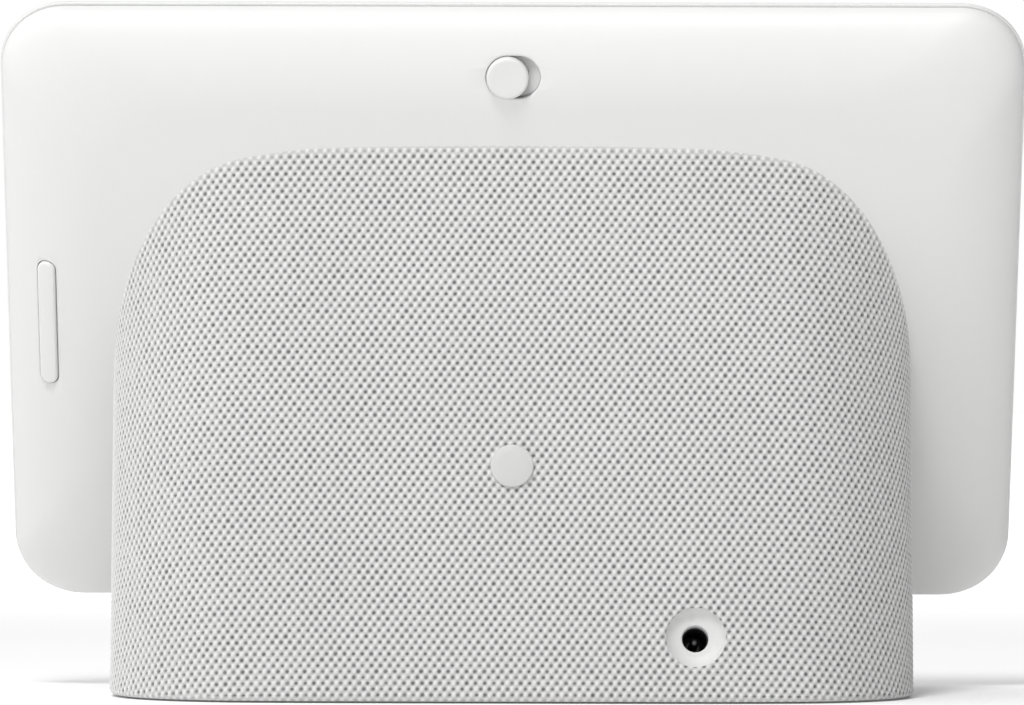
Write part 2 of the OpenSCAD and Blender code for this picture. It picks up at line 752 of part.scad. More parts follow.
module speaker_basket() color("dimgray")
    at_speaker() difference() {
        union() {
            slab(1.6, 2.6) rounded(47, 47, 5);
            rotate_extrude() polygon([[18.6, 2.6 - eps], [20.4, 2.6 - eps], [15.6, 9.5],
                                      [15.6, 10.5], [8, 10.5], [8, 9.5], [14.4, 9.5]]);
            slab(9.5, 10.5) translate([17, 0]) square([4.2, 9], center = true);
        }
        slab(0, 2.7) circle(18.6);
        for (a = [45:90:315]) rotate(a) slab(4, 8.6)
            translate([17, 0]) square([10, 12], center = true);
        for (x = [-1, 1], y = [-1, 1]) translate([x * 19.5, y * 19.5, 0])
            cylinder(r = 1.25, h = 4);
    }

module speaker_screws() color("silver")
    at_speaker() for (x = [-1, 1], y = [-1, 1]) translate([x * 19.5, y * 19.5, 0]) {
        translate([0, 0, 2.6]) cylinder(r = 2.2, h = 1.3);
        translate([0, 0, -0.8]) cylinder(r = 1.1, h = 3.4 + eps);
    }

module speaker_terminals() color("gold")
    at_speaker() slab(10.5, 11.4) translate([17.4, 0]) square([3, 7], center = true);

module top_plate() color("silver")
    at_speaker() tube(15, 6.6, 10.5, 12.5);

module magnet() color("dimgray")
    at_speaker() tube(15, 8, 12.5, 18.5);

module yoke() color("silver")
    at_speaker() {
        translate([0, 0, 18.5]) cylinder(r = 15, h = 2);
        translate([0, 0, 10.3]) cylinder(r = 5.6, h = 8.3);
    }

module voice_coil() color("peru")
    at_speaker() tube(6.3, 5.95, 6.6, 15);

module spider() color("goldenrod")
    at_speaker() rotate_extrude() polygon(concat(
        [for (i = [0:8]) [6.45 + i, 8.4 + 0.5 * (i % 2)]],
        [for (i = [8:-1:0]) [6.45 + i, 8.7 + 0.5 * (i % 2)]]));

module speaker_cone() color("darkslategray")
    at_speaker() rotate_extrude()
        polygon([[6.35, 6.6], [15.5, 2.3], [16, 2.3], [16, 2.7], [15.6, 2.7], [6.35, 7.1]]);

module dust_cap() color("darkslategray")
    at_speaker() intersection() {
        translate([0, 0, 11.4]) difference() {
            sphere(r = 7.5);
            sphere(r = 7.2);
        }
        translate([0, 0, 3]) cylinder(r = 5.9, h = 3.75);
    }

module surround() color("black")
    at_speaker() rotate_extrude() polygon(concat(
        [for (a = [0:20:180]) [17.3 + 1.2 * cos(a), 2.2 - 1.2 * sin(a)]],
        [for (a = [180:-20:0]) [17.3 + 0.9 * cos(a), 2.2 - 0.9 * sin(a)]]));

cover_glass();
glass_adhesive();
lcd_cell();
light_guide();
backlight_tray();
mid_frame();
frame_screws();
rear_shell();
display_board();
wifi_antennas();
sensor_board();
microphones();
mic_gaskets();
light_sensor();
mute_slider();
mute_lever();
switch_carrier();
mute_switch_case();
mute_board();
volume_rocker();
volume_bracket();
volume_board();
volume_switches();
switch_domes();
neck_plate();
neck_screws();
display_ribbon();
cloth_sleeve();
speaker_housing();
rear_badge();
base_plate();
rubber_foot();
base_screws();
inlet_trim();
inlet_barrel();
inlet_pin();
inlet_terminals();
main_board();
board_screws();
processor();
memory_chips();
shield_can();
thermal_pad();
heat_sink();
board_connectors();
power_wires();
speaker_wires();
speaker_gasket();
speaker_basket();
speaker_screws();
speaker_terminals();
top_plate();
magnet();
yoke();
voice_coil();
spider();
speaker_cone();
dust_cap();
surround();
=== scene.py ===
"""Looks of the smart display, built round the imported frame.

Blender works in metres in the frame's own axes. Lengths below are in millimetres and become
metres in place(). The screen faces -Y, +X is on the left as seen from behind.
"""

import json
import math

import bmesh
import bpy
import numpy as np
from mathutils import Matrix, Vector


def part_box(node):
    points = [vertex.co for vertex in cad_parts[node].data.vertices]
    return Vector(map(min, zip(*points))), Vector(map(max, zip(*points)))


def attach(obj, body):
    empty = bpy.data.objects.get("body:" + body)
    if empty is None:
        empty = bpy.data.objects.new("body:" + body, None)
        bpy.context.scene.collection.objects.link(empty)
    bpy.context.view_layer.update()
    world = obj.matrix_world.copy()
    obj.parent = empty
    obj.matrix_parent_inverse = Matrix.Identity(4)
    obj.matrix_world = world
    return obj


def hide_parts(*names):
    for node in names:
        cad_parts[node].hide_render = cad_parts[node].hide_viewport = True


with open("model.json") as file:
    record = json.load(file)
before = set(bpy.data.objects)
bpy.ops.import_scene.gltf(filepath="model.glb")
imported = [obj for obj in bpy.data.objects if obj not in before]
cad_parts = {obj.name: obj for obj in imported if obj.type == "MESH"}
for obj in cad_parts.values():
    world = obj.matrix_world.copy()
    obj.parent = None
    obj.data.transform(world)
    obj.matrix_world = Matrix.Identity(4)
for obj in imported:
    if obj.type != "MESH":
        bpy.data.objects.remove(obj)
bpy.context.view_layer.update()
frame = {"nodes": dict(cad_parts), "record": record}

MM = 0.001

# ---- driving dimensions, as in the CAD model ----

glass_lo, glass_hi = (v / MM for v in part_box("cover_glass"))
foot_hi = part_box("rubber_foot")[1] / MM
cloth_lo, cloth_hi = (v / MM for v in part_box("cloth_sleeve"))

TILT = 27.0  # lean of the screen back from upright, degrees
LEAN = 11.15  # lean of the base towards the screen, degrees
COS_L, SIN_L, TAN_L = (f(math.radians(LEAN)) for f in (math.cos, math.sin, math.tan))
COS_T, SIN_T = (f(math.radians(TILT)) for f in (math.cos, math.sin))

# Display. Depths run back from the front of the glass, and U runs up it from its lower edge.
GLASS_T = 1.1
GLASS_R = 11.5  # radius of the glass's corners
GLASS_W = glass_hi.x - glass_lo.x
GLASS_Z = glass_lo.z + GLASS_T * SIN_T  # height of the lower front edge of the glass
GLASS_H = (glass_hi.z - GLASS_Z) / COS_T
MID_U = GLASS_H / 2
DISPLAY_T = 9.8  # whole thickness of the display
FLANK_W = 16.0  # width of the shell's curved flanks
SHELL_WALL = 1.8
RIM_FRONT = 1.3  # depth of the shell's front edge
RIM_D = 2.2  # depth at which the flanks start to curve
RIM_INSET = 0.4  # how far the shell stays inside the glass
FLANK_D = DISPLAY_T - RIM_D
SHELL_W = GLASS_W - 2 * RIM_INSET
SHELL_H = GLASS_H - 2 * RIM_INSET
SHELL_R = GLASS_R - RIM_INSET
BACK_R = 18.0  # radius of the corners of the shell's flat back
MASK_W, MASK_H, MASK_R = 156.0, 89.4, 1.6  # black mask round the screen
SCREEN_EDGE = 0.9  # how much of the mask shows on each side of the screen
MIC_U = MID_U + 48.9  # height of the microphones and the light sensor
MIC_X = 26.0  # distance of each microphone from the middle

# Controls on the shell's flanks
KNOB_R = 3.65
KNOB_TRAVEL = 1.9
WELL_R = KNOB_R + 0.1
WELL_LIP = 0.3  # rounding of the shell's edge round the switch well
KNOB_FOOT = -0.45  # where the knob's foot lies, below the shell's surface
MUTE_E = 9.9  # distance of the switch well's middle from the shell's upper edge
ROCKER_E = 7.0  # distance of the rocker's middle from the shell's side edge
ROCKER_U = MID_U - 0.3
ROCKER_L = 23.6
ROCKER_R = 1.55
ROCKER_GAP = 0.2
SLOT_LIP = 0.12  # rounding of the shell's edge round the rocker's slot
POCKET_TOP = 0.6  # how far the cutting tools stand out of the shell
WELL_FLOOR, SLOT_FLOOR = -4, -6  # below the shell's wall, so that the pockets go through

# Base. Its outline is square to its leaning walls.
FOOT_H = cloth_lo.z
HALF_W = cloth_hi.x
REAR_R = 26.5  # radius of the back corners
FRONT_R = 24.0  # radius of the front corners
REAR_BOW = 1700.0  # radius of the slightly bowed back
SHOULDER_R = 140.0  # radius between the bow and a corner
SHOULDER_A = math.radians(8)  # turn from the middle of the back to a shoulder's end
FRONT_BOW = 500.0  # radius of the slightly bowed front
REAR_Y = cloth_hi.y * COS_L
FRONT_Y = -27.0 * COS_L
JACK_X = -31.4
JACK_Z = 4.5
TRIM_R = 5.25
THROAT_R = 2.25
TRIM_L = 4.3  # depth of the funnel piece
FLANGE_R = 6.8  # radius of the funnel's flange behind the cloth
FLANGE_D = 3.2  # depth at which the flange starts
FUNNEL_RIM = 0.52  # how far the funnel's rim lies below the cloth
BADGE_Z = 34.0
FOOT_INSET = 4.3  # how far the foot pad stays inside the base's outline

# Studio light: its even level, and how it grows along each axis
SKY_LEVEL = 0.48
SKY_SLOPE = (0.54, 0.0, 0.2)

# Camera, fitted to the photo
LENS = 261.2
CAMERA_AT = (0.00007, 1.2988, 0.0598)
CAMERA_TURN = (90, -0.13, 180)

# Knit: stitches lie in rows round the base, each row shifted by half a stitch.
STITCH_W = 1.534
ROW_H = 1.01
KNIT_SKEW = 0.045  # how far the columns drift round the base for each millimetre down
HOLE_DEPTH = 0.46  # how far the holes between stitches sink
CROWN = 0.12  # how far a stitch's crown stands up
STRAND = 0.01  # height of the slanting strands that the crowns form
TOP_FADE = 1.5  # how far below the shell the holes start to close up
FOOT_ROLL = 0.9  # radius with which the cloth turns in at its bottom edge
TURN_IN = 2.6  # how far the cloth runs in under the base
PROUD = 0.08  # how far the turned-in cloth hangs below the base plate's underside
TURNED_CLOSING = 0.4  # how much of the holes' painted shade stays on the turned-in cloth, as a share
TUCK_IN = (0.25, 0.6)  # how far in the cloth's top edge turns, ring by ring
TOP_GAP = 0.02  # between the cloth's top edge and the shell
WALL_REACH = 125  # more than the wall's greatest height
COLUMNS_PER_STITCH = 4  # mesh columns
ROWS_PER_STITCH = 2  # mesh rows in each row of stitches


# ---- frames ----


def turn(degrees, axis):
    return Matrix.Rotation(math.radians(degrees), 4, axis)


# The shell's flanks are quarter ellipses. e is the distance in from the shell's edge.
def flank_angle(e):
    return math.acos(1 - e / FLANK_W)


def flank_depth(e):
    return RIM_D + FLANK_D * math.sin(flank_angle(e))


def flank_slope(e):
    a = flank_angle(e)
    return math.degrees(math.atan2(FLANK_D * math.cos(a), FLANK_W * math.sin(a)))


# The base's back is a bow, then a shoulder and a corner on each side, all tangent.
CORNER_X = HALF_W - REAR_R
SHOULDER_X = CORNER_X - (SHOULDER_R - REAR_R) * math.sin(SHOULDER_A)
BOW_A = math.asin(SHOULDER_X / (REAR_BOW - SHOULDER_R))
BOW_CY = REAR_Y - REAR_BOW
SHOULDER_CY = BOW_CY + (REAR_BOW - SHOULDER_R) * math.cos(BOW_A)
CORNER_CY = SHOULDER_CY + (SHOULDER_R - REAR_R) * math.cos(SHOULDER_A)
JACK_TURN = math.asin((JACK_X + SHOULDER_X) / SHOULDER_R)
JACK_Y = SHOULDER_CY + SHOULDER_R * math.cos(JACK_TURN)


ON_DISPLAY = Matrix.Translation((0, glass_lo.y, GLASS_Z)) @ turn(-TILT, "X")
ON_BASE = Matrix.Translation((0, 0, FOOT_H)) @ turn(LEAN, "X")
AT_MUTE = (
    ON_DISPLAY
    @ Matrix.Translation((0, flank_depth(MUTE_E), GLASS_H - RIM_INSET - MUTE_E))
    @ turn(flank_slope(MUTE_E) - 90, "X")
)
AT_VOLUME = (
    ON_DISPLAY
    @ Matrix.Translation((SHELL_W / 2 - ROCKER_E, flank_depth(ROCKER_E), ROCKER_U))
    @ turn(-flank_slope(ROCKER_E), "Z")
    @ turn(-90, "X")
)
AT_INLET = (
    ON_BASE
    @ Matrix.Translation((JACK_X, JACK_Y, JACK_Z))
    @ turn(-math.degrees(JACK_TURN), "Z")
    @ turn(90, "X")
)
AT_BADGE = ON_BASE @ Matrix.Translation((0, REAR_Y, BADGE_Z)) @ turn(-90, "X")


def place(points, where):
    """Millimetres in a local frame to metres in the frame shared with the CAD."""
    m = np.array(where)
    points = np.asarray(points, float)
    return (points @ m[:3, :3].T + m[:3, 3]) * MM


# ---- mesh helpers ----


def add_piece(name, points, faces, body, materials, face_materials=None):
    mesh = bpy.data.meshes.new(name)
    mesh.from_pydata([tuple(p) for p in points], [], [tuple(f) for f in faces])
    mesh.update()
    for material in materials:
        mesh.materials.append(material)
    if face_materials is not None:
        mesh.polygons.foreach_set("material_index", face_materials)
    mesh.polygons.foreach_set("use_smooth", [True] * len(mesh.polygons))
    piece = bpy.data.objects.new(name, mesh)
    bpy.context.scene.collection.objects.link(piece)
    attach(piece, body)
    return piece


def apply_modifiers(piece):
    graph = bpy.context.evaluated_depsgraph_get()
    mesh = bpy.data.meshes.new_from_object(piece.evaluated_get(graph))
    piece.modifiers.clear()
    piece.data = mesh


def sharpen(piece, degrees=40):
    piece.data.set_sharp_from_angle(angle=math.radians(degrees))


def cut(piece, cutters):
    """Takes closed meshes out of a piece and removes them."""
    for points, faces in cutters:
        mesh = bpy.data.meshes.new("cutter")
        mesh.from_pydata([tuple(p) for p in points], [], [tuple(f) for f in faces])
        tool = bpy.data.objects.new("cutter", mesh)
        bpy.context.scene.collection.objects.link(tool)
        modifier = piece.modifiers.new("cut", "BOOLEAN")
        modifier.operation = "DIFFERENCE"
        modifier.solver = "EXACT"
        modifier.object = tool
        apply_modifiers(piece)
        bpy.data.objects.remove(tool)


def even_shading(piece):
    """Large faces set the normals, so that cuts and small roundings don't smear the shading."""
    weighted = piece.modifiers.new("weighted", "WEIGHTED_NORMAL")
    weighted.keep_sharp = True
    weighted.weight = 100
    apply_modifiers(piece)


def rounded_ring(w, h, r, corner_steps=16, long_steps=30, short_steps=18):
    """Points round a rounded rectangle, counter-clockwise, with its sides divided too."""
    x, y = w / 2 - r, h / 2 - r
    points = []
    for i, (cx, cy) in enumerate(((x, y), (-x, y), (-x, -y), (x, -y))):
        for k in range(corner_steps + 1):
            a = math.radians(90 * i + 90 * k / corner_steps)
            points.append((cx + r * math.cos(a), cy + r * math.sin(a)))
        start = points[-1]
        side = (long_steps, short_steps)[i % 2]
        nx, ny = ((-x, y), (-x, -y), (x, -y), (x, y))[i]
        end = ((nx, ny + r), (nx - r, ny), (nx, ny - r), (nx + r, ny))[i]
        for k in range(1, side):
            x_k = start[0] + (end[0] - start[0]) * k / side
            points.append((x_k, start[1] + (end[1] - start[1]) * k / side))
    return np.array(points)


def stadium_ring(length, r, steps=24):
    """Points round a stadium that lies along X, counter-clockwise."""
    x = length / 2 - r
    right = [math.radians(-90 + 180 * k / steps) for k in range(steps + 1)]
    left = [math.radians(90 + 180 * k / steps) for k in range(steps + 1)]
    return np.array(
        [(x + r * math.cos(a), r * math.sin(a)) for a in right]
        + [(-x + r * math.cos(a), r * math.sin(a)) for a in left]
    )


def loft(rings):
    """Points and faces of a skin through closed rings of equal length, capped at both ends."""
    n = len(rings[0])
    points = np.concatenate([np.asarray(ring, float) for ring in rings])
    faces = [
        (i * n + j, i * n + (j + 1) % n, (i + 1) * n + (j + 1) % n, (i + 1) * n + j)
        for i in range(len(rings) - 1)
        for j in range(n)
    ]
    faces.append(tuple(range(n - 1, -1, -1)))
    faces.append(tuple((len(rings) - 1) * n + j for j in range(n)))
    return points, faces


def lathe(profile, segments=96, closed=True):
    """Turns a profile of (radius, height) round Z. A closed profile makes a ring, and an open
    one that starts and ends on the axis makes a solid."""
    points, faces, rows = [], [], []
    for r, z in profile:
        if r < 1e-9:
            rows.append([len(points)])
            points.append((0, 0, z))
            continue
        rows.append(list(range(len(points), len(points) + segments)))
        for k in range(segments):
            a = 2 * math.pi * k / segments
            points.append((r * math.cos(a), r * math.sin(a), z))
    pairs = list(zip(rows, rows[1:] + rows[:1]))
    for low, high in pairs if closed else pairs[:-1]:
        for k in range(segments):
            j = (k + 1) % segments
            a, b = (low[0], low[0]) if len(low) == 1 else (low[k], low[j])
            c, d = (high[0], high[0]) if len(high) == 1 else (high[j], high[k])
            face = [a, b, c, d]
            faces.append([v for i, v in enumerate(face) if v != face[i - 1]])
    return np.array(points), faces


def arc(cx, cz, r, start, end, steps):
    """Profile points on an arc, angles in degrees from the radius axis."""
    angles = np.radians(np.linspace(start, end, steps + 1))
    return [(cx + r * math.cos(a), cz + r * math.sin(a)) for a in angles]


def fix_normals(piece):
    bm = bmesh.new()
    bm.from_mesh(piece.data)
    bmesh.ops.recalc_face_normals(bm, faces=bm.faces)
    bm.to_mesh(piece.data)
    bm.free()


# ---- materials ----


def new_material(name, colour, roughness, **sockets):
    """A Principled material. A keyword such as coat_weight sets the socket Coat Weight."""
    material = bpy.data.materials.new(name)
    material.use_nodes = True
    shader = material.node_tree.nodes["Principled BSDF"]
    shader.inputs["Base Color"].default_value = (*colour, 1)
    shader.inputs["Roughness"].default_value = roughness
    for key, value in sockets.items():
        shader.inputs[key.replace("_", " ").title().replace("Ior", "IOR")].default_value = value
    return material


def tools(material):
    """Short calls for adding nodes to a material: node, link, maths."""
    tree = material.node_tree

    def link(source, target):
        tree.links.new(source, target)

    def node(kind, settings=(), **inputs):
        made = tree.nodes.new(kind)
        for key, value in dict(settings).items():
            setattr(made, key, value)
        for key, value in inputs.items():
            target = made.inputs[key.replace("_", " ")]
            if isinstance(value, bpy.types.NodeSocket):
                link(value, target)
            else:
                target.default_value = value
        return made

    def maths(operation, *values):
        made = tree.nodes.new("ShaderNodeMath")
        made.operation = operation
        for i, value in enumerate(values):
            if isinstance(value, bpy.types.NodeSocket):
                link(value, made.inputs[i])
            else:
                made.inputs[i].default_value = value
        return made.outputs[0]

    return node, link, maths, tree.nodes["Principled BSDF"]


def add_surface(material, grain=2500.0, depth=0.02, tone=0.03, rough=0.06, stretch=(1, 1, 1)):
    """Fine grain in the bump, a slow drift in the tone and an uneven polish.
    grain is in cells per metre, depth in millimetres, stretch draws the grain out."""
    node, link, maths, shader = tools(material)
    where = node("ShaderNodeTexCoord").outputs["Object"]
    drawn = node("ShaderNodeMapping", Vector=where, Scale=stretch).outputs[0]
    fine = node("ShaderNodeTexNoise", Vector=drawn, Scale=grain, Detail=3.0, Roughness=0.6)
    slow = node("ShaderNodeTexNoise", Vector=where, Scale=35.0, Detail=2.0)
    bump = node("ShaderNodeBump", Height=fine.outputs[0], Strength=1.0, Distance=depth * MM)
    link(bump.outputs[0], shader.inputs["Normal"])
    colour = np.array(shader.inputs["Base Color"].default_value[:3])
    mix = node("ShaderNodeMix", {"data_type": "RGBA"})
    mix.inputs["A"].default_value = (*(colour * (1 - tone)), 1)
    mix.inputs["B"].default_value = (*np.minimum(colour * (1 + tone), 1), 1)
    both = maths("MULTIPLY_ADD", fine.outputs[0], 0.35, maths("MULTIPLY", slow.outputs[0], 0.65))
    link(both, mix.inputs["Factor"])
    link(mix.outputs["Result"], shader.inputs["Base Color"])
    base = shader.inputs["Roughness"].default_value
    spread = node(
        "ShaderNodeMapRange",
        Value=slow.outputs[0],
        From_Min=0.3,
        From_Max=0.7,
        To_Min=max(base - rough, 0.02),
        To_Max=min(base + rough, 1.0),
    )
    link(spread.outputs[0], shader.inputs["Roughness"])
    return material


def knit_material():
    """Light knitted cloth. The UV map counts stitches round the base and rows up it."""
    # light is the cloth's own colour; dark is the painted shade of the holes
    light, dark = (0.71, 0.71, 0.705), (0.09, 0.09, 0.095)
    material = new_material("knit_cloth", light, 0.9, sheen_weight=0.8, sheen_roughness=0.4)
    node, link, maths, shader = tools(material)

    # which stitch a point belongs to, and where in it the point lies
    uv = node("ShaderNodeUVMap", {"uv_map": "knit"}).outputs[0]
    split = node("ShaderNodeSeparateXYZ", Vector=uv)
    across, up = split.outputs[0], split.outputs[1]
    row = maths("FLOOR", up)
    shifted = maths("MULTIPLY_ADD", maths("FLOORED_MODULO", row, 2.0), 0.5, across)
    stitch = maths("FLOOR", shifted)
    which = node("ShaderNodeCombineXYZ", X=stitch, Y=row)
    chance = node("ShaderNodeTexWhiteNoise", {"noise_dimensions": "2D"}, Vector=which.outputs[0])
    pick = node("ShaderNodeSeparateColor", Color=chance.outputs["Color"])
    in_row = maths("SUBTRACT", maths("FRACT", up), 0.5)
    slant = maths("MULTIPLY", in_row, -0.04)
    jitter = maths("MULTIPLY_ADD", pick.outputs[0], 0.10, -0.05)
    in_stitch = maths("ADD", maths("SUBTRACT", maths("FRACT", shifted), 0.5), slant)

    # the hole in its middle, a little different in every stitch
    dx = maths("MULTIPLY", maths("ADD", in_stitch, jitter), STITCH_W)
    dy = maths("MULTIPLY", in_row, ROW_H)
    reach = maths("SQRT", maths("ADD", maths("MULTIPLY", dx, dx), maths("MULTIPLY", dy, dy)))
    size = maths("MULTIPLY_ADD", pick.outputs[1], 0.10, 0.29)
    near = maths("DIVIDE", reach, size)
    hole = node(
        "ShaderNodeMapRange",
        {"interpolation_type": "SMOOTHSTEP"},
        Value=near,
        From_Min=0.35,
        From_Max=1.45,
        To_Min=1.0,
        To_Max=0.0,
    ).outputs[0]

    # fine relief: crowns and fibres
    wave_x = maths("COSINE", maths("MULTIPLY", in_stitch, 2 * math.pi))
    wave_y = maths("COSINE", maths("MULTIPLY", in_row, math.pi))
    crown = maths("MULTIPLY", maths("MULTIPLY", wave_x, wave_y), -1.0)
    where = node("ShaderNodeTexCoord").outputs["Object"]
    fibre = node("ShaderNodeTexNoise", Vector=where, Scale=5200.0, Detail=3.0, Roughness=0.65)
    slow = node("ShaderNodeTexNoise", Vector=where, Scale=45.0, Detail=2.0)
    height = maths("MULTIPLY_ADD", fibre.outputs[0], 0.8, crown)
    bump = node("ShaderNodeBump", Height=height, Strength=1.0, Distance=0.07 * MM)
    link(bump.outputs[0], shader.inputs["Normal"])

    # tone: painted shade in the holes, lighter on the crowns and strands as painted highlight, and
    # lighter on each stitch's upper half as painted light from above
    edges = node("ShaderNodeUVMap", {"uv_map": "edges"}).outputs[0]
    closing = node("ShaderNodeSeparateXYZ", Vector=edges).outputs[1]
    # painted shade: the holes darken where the relief sinks, less where they close up
    hole_shade = maths("MULTIPLY", hole, maths("MULTIPLY_ADD", pick.outputs[2], 0.24, 0.585))
    hole_shade = maths("MULTIPLY", hole_shade, closing)
    along = maths("MULTIPLY_ADD", maths("SUBTRACT", up, 0.5), -0.5, across)
    strand = maths("COSINE", maths("MULTIPLY", along, 2 * math.pi))
    # painted highlight: the crowns, and faintly the slanting strands, are lighter
    full = maths("SMOOTH_MIN", maths("MULTIPLY", maths("MAXIMUM", crown, 0.0), 1.5), 1.0, 0.2)
    lit = maths("MULTIPLY_ADD", full, 0.2, 0.78)
    lit = maths("MULTIPLY_ADD", strand, 0.015, lit)
    # painted light from above: the upper half of each stitch is lighter
    lit = maths("MULTIPLY_ADD", in_row, 0.06, lit)
    cloth = node("ShaderNodeMix", {"data_type": "RGBA"})
    cloth.inputs["A"].default_value = (*(0.88 * c for c in light), 1)
    cloth.inputs["B"].default_value = (*(min(1.1 * c, 1) for c in light), 1)
    tone = maths("MULTIPLY_ADD", slow.outputs[0], 0.35, maths("MULTIPLY", fibre.outputs[0], 0.65))
    link(tone, cloth.inputs["Factor"])
    shaded = node("ShaderNodeVectorMath", {"operation": "SCALE"}, Scale=lit)
    link(cloth.outputs["Result"], shaded.inputs[0])
    final = node("ShaderNodeMix", {"data_type": "RGBA"})
    link(shaded.outputs[0], final.inputs["A"])
    final.inputs["B"].default_value = (*dark, 1)
    link(hole_shade, final.inputs["Factor"])
    link(final.outputs["Result"], shader.inputs["Base Color"])
    return material


WHITE = (0.735, 0.735, 0.73)
chalk = add_surface(new_material("chalk_plastic", WHITE, 0.5), tone=0.012)
knob_plastic = add_surface(new_material("knob_plastic", (0.7, 0.7, 0.695), 0.42), tone=0.01)
trim_white = add_surface(
    new_material("trim_white", (0.67, 0.67, 0.665), 0.5), depth=0.006, tone=0.01
)
badge_white = add_surface(
    new_material("badge_white", (0.56, 0.56, 0.555), 0.4), depth=0.008, tone=0.01
)
pin_metal = add_surface(
    new_material("pin_metal", (0.2, 0.2, 0.2), 0.4, metallic=1), grain=1500, depth=0.004, tone=0.04
)
knit = knit_material()
glass_rim = add_surface(new_material("glass_rim", (0.72, 0.73, 0.72), 0.25), depth=0.001, tone=0.02)
border = add_surface(
    new_material("glass_border", (0.8, 0.8, 0.79), 0.12, coat_weight=1.0, coat_roughness=0.03),
    depth=0.0005,
    tone=0.005,
    rough=0.02,
)
mask_black = add_surface(
    new_material("glass_mask", (0.012, 0.012, 0.013), 0.1, coat_weight=1.0, coat_roughness=0.03),
    depth=0.0005,
    rough=0.02,
)
screen_dark = add_surface(
    new_material("dark_screen", (0.006, 0.007, 0.009), 0.16, coat_weight=1.0, coat_roughness=0.03),
    depth=0.0005,
    rough=0.02,
)
foot_grey = add_surface(
    new_material("foot_silicone", (0.62, 0.62, 0.62), 0.72), grain=900, depth=0.05
)


# ---- display: shell, glass ----


def shell_ring(inset, depth, r):
    flat = rounded_ring(SHELL_W - 2 * inset, SHELL_H - 2 * inset, r)
    return np.c_[flat[:, 0], np.full(len(flat), depth), flat[:, 1] + MID_U]


def shell_rings(wall, steps):
    rings = []
    for a in np.linspace(0, math.pi / 2, steps):
        bend = 1 - math.cos(a)
        rings.append(
            shell_ring(
                wall + FLANK_W * bend,
                RIM_D + (FLANK_D - wall) * math.sin(a),
                SHELL_R - wall + (BACK_R - SHELL_R) * bend,
            )
        )
    return rings


def flank_height(e0):
    """The flank's surface about a point e0 from the edge, in the frame that stands on it there:
    its height as a function of the distance towards the shell's edge."""
    e = np.linspace(0.02, FLANK_W, 400)
    depth = np.array([flank_depth(v) for v in e]) - flank_depth(e0)
    slope = math.radians(flank_slope(e0))
    outward = (e0 - e) * math.cos(slope) - depth * math.sin(slope)
    height = (e0 - e) * math.sin(slope) + depth * math.cos(slope)
    order = np.argsort(outward)
    return lambda t: np.interp(t, outward[order], height[order])


def lipped_cutter(ring_at, lip, surface, floor):
    """A closed tool that cuts a pocket and rounds its edge. ring_at(grow) is the outline."""
    rings = []
    for grow, up in [(lip + 0.4, POCKET_TOP), (lip * 0.95, 0.02)] + [
        (lip * (1 - math.sin(a)), -lip * (1 - math.cos(a)))
        for a in np.linspace(0.25, math.pi / 2, 7)
    ]:
        ring = ring_at(grow)
        rings.append(np.c_[ring, surface(ring) + up])
    rings.append(np.c_[ring_at(0), np.full(len(ring_at(0)), floor)])
    return loft(rings[::-1])


def make_shell():
    rim = 0.2  # rounding of the shell's front edge
    front = [
        shell_ring(rim * (1 - math.sin(a)), RIM_FRONT + rim * (1 - math.cos(a)), SHELL_R)
        for a in np.linspace(0, math.pi / 2, 5)
    ]
    inner = [shell_ring(SHELL_WALL, RIM_FRONT, SHELL_R - SHELL_WALL)] + shell_rings(SHELL_WALL, 10)
    points, faces = loft(inner[::-1] + front + shell_rings(0, 30))
    shell = add_piece(
        "shell", place(points, ON_DISPLAY), faces, "stand", [chalk]
    )
    fix_normals(shell)
    top_flank, side_flank = flank_height(MUTE_E), flank_height(ROCKER_E)

    def well(grow):
        return stadium_ring(2 * (WELL_R + grow) + KNOB_TRAVEL, WELL_R + grow)

    def slot(grow):
        r = ROCKER_R + ROCKER_GAP + grow
        ring = stadium_ring(ROCKER_L + 2 * (ROCKER_GAP + grow), r)
        return np.c_[-ring[:, 1], ring[:, 0]]

    well_points, well_faces = lipped_cutter(
        well, WELL_LIP, lambda ring: top_flank(-ring[:, 1]), WELL_FLOOR
    )
    slot_points, slot_faces = lipped_cutter(
        slot, SLOT_LIP, lambda ring: side_flank(ring[:, 0]), SLOT_FLOOR
    )
    cut(
        shell,
        [(place(well_points, AT_MUTE), well_faces), (place(slot_points, AT_VOLUME), slot_faces)],
    )
    even_shading(shell)
    sharpen(shell)
    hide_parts("rear_shell")


